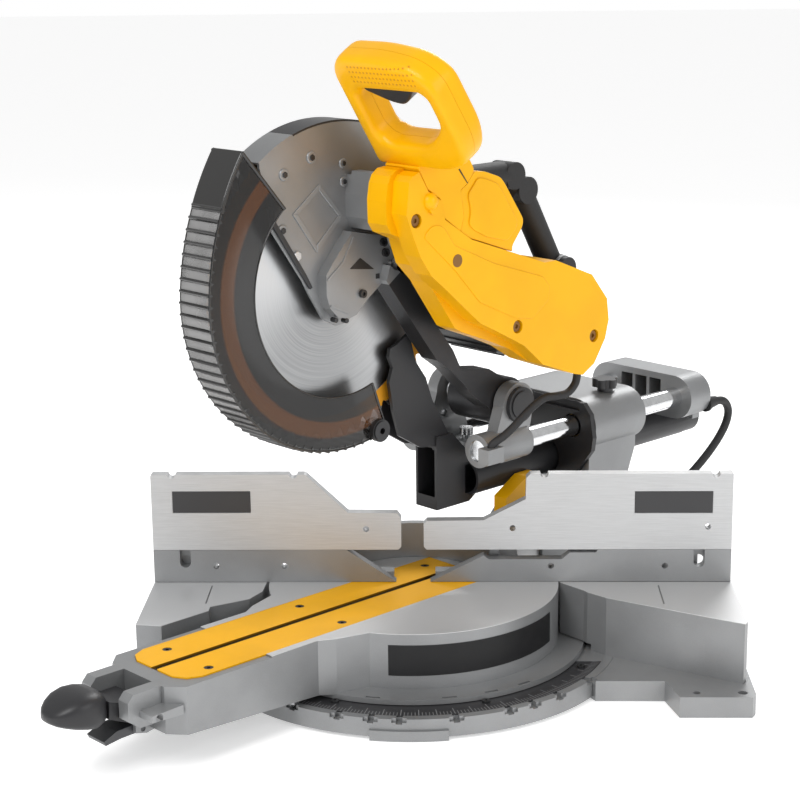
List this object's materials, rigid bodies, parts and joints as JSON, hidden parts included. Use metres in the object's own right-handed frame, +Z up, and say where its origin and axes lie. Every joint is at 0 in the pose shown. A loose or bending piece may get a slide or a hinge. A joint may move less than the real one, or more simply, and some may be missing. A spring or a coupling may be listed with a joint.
{
  "type": "sliding mitre saw",
  "caption": "Sliding compound mitre saw: ring base with tall fences, slotted arm and turntable, belt-driven tilting head on rails, guarded blade and a cross-wise D handle.",
  "frame": {"origin": "middle of the four bench bolt holes, on the bench plane", "axes": "+X to the operator's right along the fence, +Y to the rear, +Z up"},
  "size_m": [0.6825, 0.7299, 0.6311],
  "materials": {
    "cast_aluminium": "satin",
    "machined_aluminium": "machined",
    "painted_grey": "satin",
    "yellow_plastic": "satin",
    "black_plastic": "matte",
    "grey_plastic": "matte",
    "chrome_steel": "polished",
    "steel": "brushed",
    "dark_steel": "zinc black",
    "rubber": "matte",
    "smoky_plastic": "gloss",
    "bronze": "satin",
    "copper_core": "wound"
  },
  "bodies": {
    "base": {"base_casting": "cast_aluminium", "scale_plate": "grey_plastic", "scale_screws": "dark_steel", "mitre_pivot_bolt": "steel", "lower_fence": "cast_aluminium", "fence_bolts": "dark_steel"},
    "left_fence": {"left_sliding_fence": "machined_aluminium"},
    "right_fence": {"right_sliding_fence": "machined_aluminium"},
    "left_knob": {"left_fence_knob": "black_plastic"},
    "right_knob": {"right_fence_knob": "black_plastic"},
    "turntable": {"turntable": "cast_aluminium", "left_kerf_plate": "yellow_plastic", "right_kerf_plate": "yellow_plastic", "kerf_screws": "steel", "mitre_lock_pin": "steel"},
    "mitre_lock": {"mitre_lock_handle": "black_plastic"},
    "mitre_latch": {"mitre_latch": "grey_plastic"},
    "detent_pawl": {"detent_pawl": "steel"},
    "bevel_support": {"rail_housing": "cast_aluminium", "housing_front_plate": "black_plastic", "rail_bushes": "bronze", "bevel_pivot_bolt": "steel"},
    "bevel_clamp": {"bevel_clamp_lever": "black_plastic"},
    "bevel_stop": {"bevel_stop": "yellow_plastic"},
    "rail_lock": {"rail_lock_knob": "black_plastic"},
    "carriage": {"rails": "chrome_steel", "rear_end_cap": "cast_aluminium", "yoke": "painted_grey", "head_pivot_pin": "steel", "pivot_cap": "black_plastic", "return_spring": "steel", "dust_duct": "black_plastic", "jumper_cable": "rubber", "strain_relief": "rubber", "mains_cord": "rubber", "cord_coil": "rubber", "cord_tie": "rubber", "mains_plug": "black_plastic"},
    "depth_stop": {"depth_stop_bolt": "steel"},
    "head_lock": {"head_lock_pin": "steel"},
    "head": {"head_casting": "cast_aluminium", "upper_guard_rim": "black_plastic", "gear_cover_screws": "dark_steel", "motor_housing": "black_plastic", "drive_belt": "rubber", "belt_cover": "yellow_plastic", "cover_screws": "dark_steel", "handle_front": "yellow_plastic", "handle_rear": "yellow_plastic", "switch_pod": "yellow_plastic", "carry_handle": "rubber"},
    "trigger": {"trigger": "black_plastic"},
    "spindle_lock": {"spindle_lock": "steel"},
    "blade": {"blade": "steel", "arbor_spindle": "steel", "arbor_screw": "steel"},
    "drive_pulley": {"drive_pulley": "steel"},
    "motor_rotor": {"motor_rotor": "copper_core"},
    "lower_guard": {"lower_guard": "smoky_plastic"},
    "guard_roller": {"guard_roller": "dark_steel"}
  },
  "joints": [
    {"name": "mitre_turn", "type": "hinge", "parent": "base", "child": "turntable", "pos_m": [-0.029, 0.02, 0.081], "axis": [0, 0, 1], "range_deg": [-5, 105]},
    {"name": "mitre_lock_turn", "type": "hinge", "parent": "turntable", "child": "mitre_lock", "pos_m": [-0.28073, -0.23173, 0.059], "axis": [-0.7071, 0.7071, 0], "range_deg": [-14, 10]},
    {"name": "latch_turn", "type": "hinge", "parent": "turntable", "child": "mitre_latch", "pos_m": [-0.27649, -0.22749, 0.037], "axis": [-0.7071, 0.7071, 0], "range_deg": [-10, 0], "stiffness_Nm_per_rad": 0.6, "springref_deg": 8},
    {"name": "pawl_slide", "type": "slide", "parent": "turntable", "child": "detent_pawl", "axis": [0, 0, 1], "range_m": [-0.0048, 0]},
    {"name": "bevel_tilt", "type": "hinge", "parent": "turntable", "child": "bevel_support", "pos_m": [-0.029, 0.02, 0.081], "axis": [0.7071, 0.7071, 0], "range_deg": [-33.9, 8]},
    {"name": "bevel_clamp_turn", "type": "hinge", "parent": "bevel_support", "child": "bevel_clamp", "pos_m": [0.12091, 0.16991, 0.081], "axis": [0.7071, 0.7071, 0], "range_deg": [-20, 25]},
    {"name": "bevel_stop_slide", "type": "slide", "parent": "bevel_support", "child": "bevel_stop", "axis": [0.7071, 0.7071, 0], "range_m": [-0.012, 0]},
    {"name": "rail_lock_turn", "type": "hinge", "parent": "bevel_support", "child": "rail_lock", "pos_m": [0.17111, 0.15364, 0.246], "axis": [0, 0, 1], "range_deg": [-180, 180]},
    {"name": "rail_slide", "type": "slide", "parent": "bevel_support", "child": "carriage", "axis": [0.7071, 0.7071, 0], "range_m": [-0.072, 0.07]},
    {"name": "depth_stop_turn", "type": "hinge", "parent": "carriage", "child": "depth_stop", "pos_m": [0.02474, 0.09354, 0.221], "axis": [0, 0, 1], "range_deg": [-180, 180]},
    {"name": "head_lock_slide", "type": "slide", "parent": "carriage", "child": "head_lock", "axis": [0.7071, -0.7071, 0], "range_m": [0, 0.01]},
    {"name": "head_chop", "type": "hinge", "parent": "carriage", "child": "head", "pos_m": [0.03888, 0.08788, 0.258], "axis": [-0.7071, 0.7071, 0], "range_deg": [-43, 0], "stiffness_Nm_per_rad": 10, "springref_deg": 85.94, "deforming": ["jumper_cable"]},
    {"name": "trigger_slide", "type": "slide", "parent": "head", "child": "trigger", "axis": [-0.3747, -0.3747, 0.848], "range_m": [0, 0.005], "stiffness_N_per_m": 800, "springref_m": -0.004},
    {"name": "spindle_lock_slide", "type": "slide", "parent": "head", "child": "spindle_lock", "axis": [-0.7071, 0.7071, 0], "range_m": [0, 0.003], "stiffness_N_per_m": 600, "springref_m": -0.003},
    {"name": "blade_spin", "type": "hinge", "parent": "head", "child": "blade", "pos_m": [-0.10395, -0.05495, 0.401], "axis": [-0.7071, 0.7071, 0], "continuous": true},
    {"name": "pulley_spin", "type": "hinge", "parent": "head", "child": "drive_pulley", "pos_m": [-0.02193, -0.07192, 0.446], "axis": [-0.7071, 0.7071, 0], "continuous": true},
    {"name": "rotor_spin", "type": "hinge", "parent": "head", "child": "motor_rotor", "pos_m": [0.04737, 0.09637, 0.352], "axis": [-0.7071, 0.7071, 0], "continuous": true},
    {"name": "guard_turn", "type": "hinge", "parent": "head", "child": "lower_guard", "pos_m": [-0.10395, -0.05495, 0.401], "axis": [-0.7071, 0.7071, 0], "range_deg": [0, 112]},
    {"name": "roller_spin", "type": "hinge", "parent": "lower_guard", "child": "guard_roller", "pos_m": [-0.05797, -0.04432, 0.25665], "axis": [-0.7071, 0.7071, 0], "continuous": true},
    {"name": "left_fence_slide", "type": "slide", "parent": "base", "child": "left_fence", "axis": [1, 0, 0], "range_m": [-0.1, 0]},
    {"name": "right_fence_slide", "type": "slide", "parent": "base", "child": "right_fence", "axis": [1, 0, 0], "range_m": [0, 0.1]},
    {"name": "left_knob_turn", "type": "hinge", "parent": "base", "child": "left_knob", "pos_m": [-0.247, 0.05, 0.132], "axis": [0, 1, 0], "range_deg": [-180, 180]},
    {"name": "right_knob_turn", "type": "hinge", "parent": "base", "child": "right_knob", "pos_m": [0.239, 0.05, 0.132], "axis": [0, 1, 0], "range_deg": [-180, 180]}
  ],
  "couplings": [
    {"joint": "guard_turn", "follows": "head_chop", "ratio": -2.6},
    {"joint": "pulley_spin", "follows": "blade_spin", "ratio": 2},
    {"joint": "rotor_spin", "follows": "blade_spin", "ratio": 2},
    {"joint": "pawl_slide", "follows": "latch_turn", "m_per_rad": 0.0275}
  ]
}
